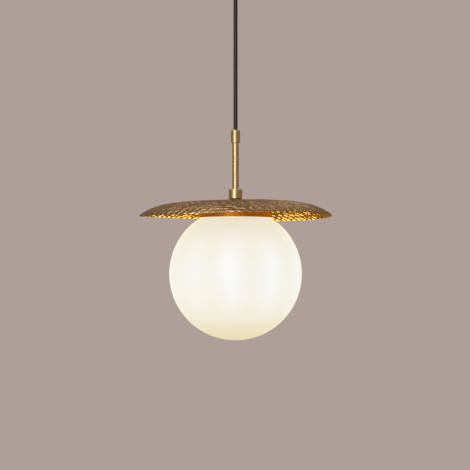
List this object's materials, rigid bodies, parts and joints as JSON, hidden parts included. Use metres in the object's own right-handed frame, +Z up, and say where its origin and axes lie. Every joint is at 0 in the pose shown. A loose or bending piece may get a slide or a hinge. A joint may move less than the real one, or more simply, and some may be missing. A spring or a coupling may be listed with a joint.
{
  "type": "pendant ceiling light",
  "caption": "Pendant light on a black cord: short brass stem, wide shallow hammered brass dish, opal glass globe below it, round ceiling canopy.",
  "frame": {"origin": "centre of the ceiling bracket's upper face, on the ceiling", "axes": "+Z up out of the ceiling, the lamp hangs towards -Z; the bracket's two slots lie along X; -Y is the side first seen"},
  "size_m": [0.291, 0.291, 0.5593],
  "materials": {
    "brass_satin": "satin brushed brass, lacquered",
    "brass_bright": "bright machined brass",
    "brass_hammered": "hand hammered antique brass, brighter on the marks",
    "opal_glass": "opal white blown glass, lit from inside",
    "cord_black": "smooth black round cord sheath",
    "steel_zinc": "zinc plated steel",
    "nylon_white": "moulded nylon",
    "rubber_black": "matt black rubber",
    "holder_black": "black thermoset moulding",
    "ceramic_white": "glazed steatite",
    "nickel_plate": "nickel plated, slightly dull",
    "insulator_black": "black moulded insulator",
    "bulb_white": "white moulded plastic",
    "bulb_diffuser": "frosted diffuser, lit",
    "board_white": "white circuit board",
    "led_yellow": "phosphor coated light emitting diodes",
    "silicone_clear": "translucent silicone",
    "wire_brown": "brown core insulation",
    "wire_blue": "blue core insulation",
    "wire_green": "green and yellow core insulation"
  },
  "bodies": {
    "bracket": {"ceiling_bracket": "steel_zinc"},
    "canopy": {"canopy_cup": "brass_satin", "grip_body": "brass_satin", "grip_screw": "nylon_white", "grip_nut": "steel_zinc", "cord_clamped_end": "cord_black", "terminal_block": "nylon_white", "terminal_tubes": "brass_bright", "terminal_screws": "steel_zinc", "canopy_wire_live": "wire_brown", "canopy_wire_neutral": "wire_blue", "canopy_wire_earth": "wire_green"},
    "canopy_screw_left": {"canopy_screw_left": "brass_satin"},
    "canopy_screw_right": {"canopy_screw_right": "brass_satin"},
    "cord_bend": {"cord_bend": "cord_black"},
    "cord": {"cord_main": "cord_black"},
    "lamp": {"coupler": "brass_satin", "coupler_insert": "nylon_white", "coupler_screw": "steel_zinc", "stem_tube": "brass_satin", "stem_bush": "brass_satin", "bush_screw": "steel_zinc", "dish_spacer": "rubber_black", "dish": "brass_hammered", "dish_washer": "rubber_black", "spigot_cup": "brass_satin", "tooth_washer": "steel_zinc", "lock_nut": "steel_zinc", "holder_cap": "holder_black", "holder_sleeve": "holder_black", "holder_insert": "ceramic_white", "holder_thread": "nickel_plate", "holder_contact": "brass_bright", "holder_terminals": "brass_bright", "holder_screws": "steel_zinc", "stem_wire_live": "wire_brown", "stem_wire_neutral": "wire_blue", "stem_wire_earth": "wire_green"},
    "globe": {"globe_glass": "opal_glass", "globe_collar": "brass_satin", "globe_bond": "silicone_clear"},
    "globe_screw_a": {"globe_screw_a": "brass_satin"},
    "globe_screw_b": {"globe_screw_b": "brass_satin"},
    "globe_screw_c": {"globe_screw_c": "brass_satin"},
    "bulb": {"bulb_contact": "nickel_plate", "bulb_insulator": "insulator_black", "bulb_shell": "nickel_plate", "bulb_housing": "bulb_white", "bulb_diffuser": "bulb_diffuser", "led_board": "board_white", "led_chips": "led_yellow"}
  },
  "joints": [
    {"name": "canopy_slide", "type": "slide", "parent": "bracket", "child": "canopy", "axis": [0, 0, -1], "range_m": [0, 0.06]},
    {"name": "swing_side", "type": "hinge", "parent": "canopy", "child": "cord_bend", "pos_m": [0, 0, -0.0375], "axis": [0, 1, 0], "range_deg": [-25, 25]},
    {"name": "swing_fore", "type": "hinge", "parent": "cord_bend", "child": "cord", "pos_m": [0, 0, -0.0375], "axis": [1, 0, 0], "range_deg": [-25, 25]},
    {"name": "lamp_turn", "type": "hinge", "parent": "cord", "child": "lamp", "pos_m": [0, 0, -0.2508], "axis": [0, 0, 1], "range_deg": [-180, 180], "stiffness_Nm_per_rad": 0.002},
    {"name": "globe_drop", "type": "slide", "parent": "lamp", "child": "globe", "axis": [0, 0, -1], "range_m": [0, 0.14]},
    {"name": "globe_screw_a_out", "type": "slide", "parent": "globe", "child": "globe_screw_a", "axis": [0, 1, 0], "range_m": [0, 0.006]},
    {"name": "globe_screw_b_out", "type": "slide", "parent": "globe", "child": "globe_screw_b", "axis": [-0.866, -0.5, 0], "range_m": [0, 0.006]},
    {"name": "globe_screw_c_out", "type": "slide", "parent": "globe", "child": "globe_screw_c", "axis": [0.866, -0.5, 0], "range_m": [0, 0.006]},
    {"name": "canopy_screw_left_out", "type": "slide", "parent": "canopy", "child": "canopy_screw_left", "axis": [-1, 0, 0], "range_m": [0, 0.006]},
    {"name": "canopy_screw_right_out", "type": "slide", "parent": "canopy", "child": "canopy_screw_right", "axis": [1, 0, 0], "range_m": [0, 0.006]},
    {"name": "bulb_unscrew", "type": "slide", "parent": "lamp", "child": "bulb", "axis": [0, 0, -1], "range_m": [0, 0.026]}
  ]
}
